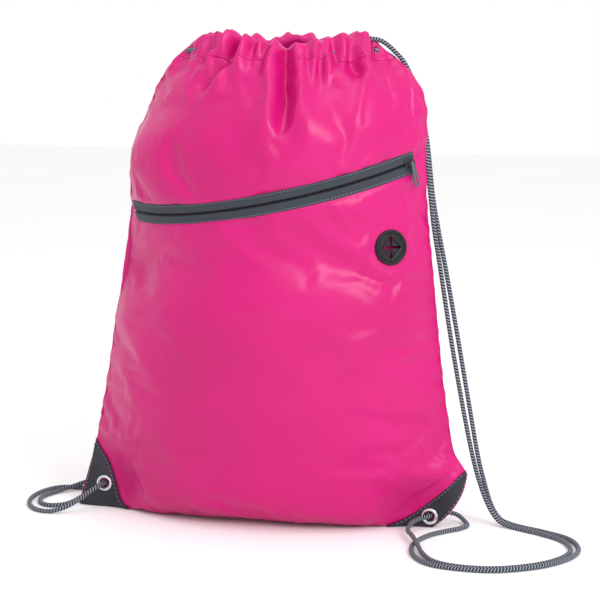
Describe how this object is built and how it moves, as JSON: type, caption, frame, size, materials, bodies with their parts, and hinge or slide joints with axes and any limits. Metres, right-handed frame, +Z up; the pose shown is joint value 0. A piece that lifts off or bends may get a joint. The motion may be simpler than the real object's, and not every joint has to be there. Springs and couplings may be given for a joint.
{
  "type": "drawstring backpack",
  "caption": "Drawstring backpack with a curved zip pocket, an earphone port, reinforced corners with eyelets and doubled shoulder cords.",
  "frame": {"origin": "on the floor under the middle of the bottom seam", "axes": "+Z up along the bag's height, front with the zip towards -Y, +X to the right as seen from the front"},
  "size_m": [0.4656, 0.1938, 0.39],
  "materials": {
    "bag_fabric": "satin polyester weave",
    "zip_tape": "woven tape",
    "zip_metal": "black enamel",
    "port_rubber": "matt",
    "corner_leather": "fine grain",
    "eyelet": "polished",
    "cord": "braided"
  },
  "bodies": {
    "bag": {"upper_front_panel": "bag_fabric", "pocket_front_panel": "bag_fabric", "pocket_lining": "bag_fabric", "back_panel": "bag_fabric", "left_side_seam": "bag_fabric", "right_side_seam": "bag_fabric", "front_hem_channel": "bag_fabric", "back_hem_channel": "bag_fabric", "upper_zip_tape": "zip_tape", "lower_zip_tape": "zip_tape", "upper_zip_coil": "zip_metal", "lower_zip_coil": "zip_metal", "left_zip_stop": "zip_metal", "right_zip_stop": "zip_metal", "earphone_port_ring": "port_rubber", "earphone_port_backing": "port_rubber", "front_left_corner_patch": "corner_leather", "front_right_corner_patch": "corner_leather", "back_left_corner_patch": "corner_leather", "back_right_corner_patch": "corner_leather", "left_eyelet": "eyelet", "right_eyelet": "eyelet", "left_eyelet_washer": "eyelet", "right_eyelet_washer": "eyelet", "left_cord_in_hem": "cord", "right_cord_in_hem": "cord", "left_cord_front_strand": "cord", "left_cord_back_strand": "cord", "right_cord_front_strand": "cord", "right_cord_back_strand": "cord", "left_cord_knot": "cord", "right_cord_knot": "cord"},
    "zip_slider": {"zip_slider": "zip_metal"},
    "zip_pull": {"zip_pull": "zip_tape"},
    "port_upper_left_flap": {"earphone_port_upper_left_flap": "port_rubber"},
    "port_lower_left_flap": {"earphone_port_lower_left_flap": "port_rubber"},
    "port_lower_right_flap": {"earphone_port_lower_right_flap": "port_rubber"},
    "port_upper_right_flap": {"earphone_port_upper_right_flap": "port_rubber"}
  },
  "joints": [
    {"name": "zip_slide", "type": "hinge", "parent": "bag", "child": "zip_slider", "pos_m": [0.002, 0.065, 0.283], "axis": [0.1885, 0.1564, -0.9695], "range_deg": [0, 106]},
    {"name": "pull_swing", "type": "hinge", "parent": "zip_slider", "child": "zip_pull", "pos_m": [0.11768, -0.02074, 0.29165], "axis": [-0.5669, -0.7888, -0.2375], "range_deg": [0, 150]},
    {"name": "port_upper_left_flap_bend", "type": "hinge", "parent": "bag", "child": "port_upper_left_flap", "pos_m": [0.10098, -0.03713, 0.23225], "axis": [0.4938, 0.5081, 0.7057], "range_deg": [-40, 60], "stiffness_Nm_per_rad": 0.0005},
    {"name": "port_lower_left_flap_bend", "type": "hinge", "parent": "bag", "child": "port_lower_left_flap", "pos_m": [0.10133, -0.03753, 0.22387], "axis": [-0.5539, -0.4418, 0.7057], "range_deg": [-40, 60], "stiffness_Nm_per_rad": 0.0005},
    {"name": "port_lower_right_flap_bend", "type": "hinge", "parent": "bag", "child": "port_lower_right_flap", "pos_m": [0.10756, -0.03188, 0.22387], "axis": [-0.4938, -0.5081, -0.7057], "range_deg": [-40, 60], "stiffness_Nm_per_rad": 0.0005},
    {"name": "port_upper_right_flap_bend", "type": "hinge", "parent": "bag", "child": "port_upper_right_flap", "pos_m": [0.1072, -0.03149, 0.23225], "axis": [0.5539, 0.4418, -0.7057], "range_deg": [-40, 60], "stiffness_Nm_per_rad": 0.0005}
  ],
  "couplings": [
    {"joint": "port_lower_left_flap_bend", "follows": "port_upper_left_flap_bend", "ratio": 1},
    {"joint": "port_lower_right_flap_bend", "follows": "port_upper_left_flap_bend", "ratio": 1},
    {"joint": "port_upper_right_flap_bend", "follows": "port_upper_left_flap_bend", "ratio": 1}
  ]
}
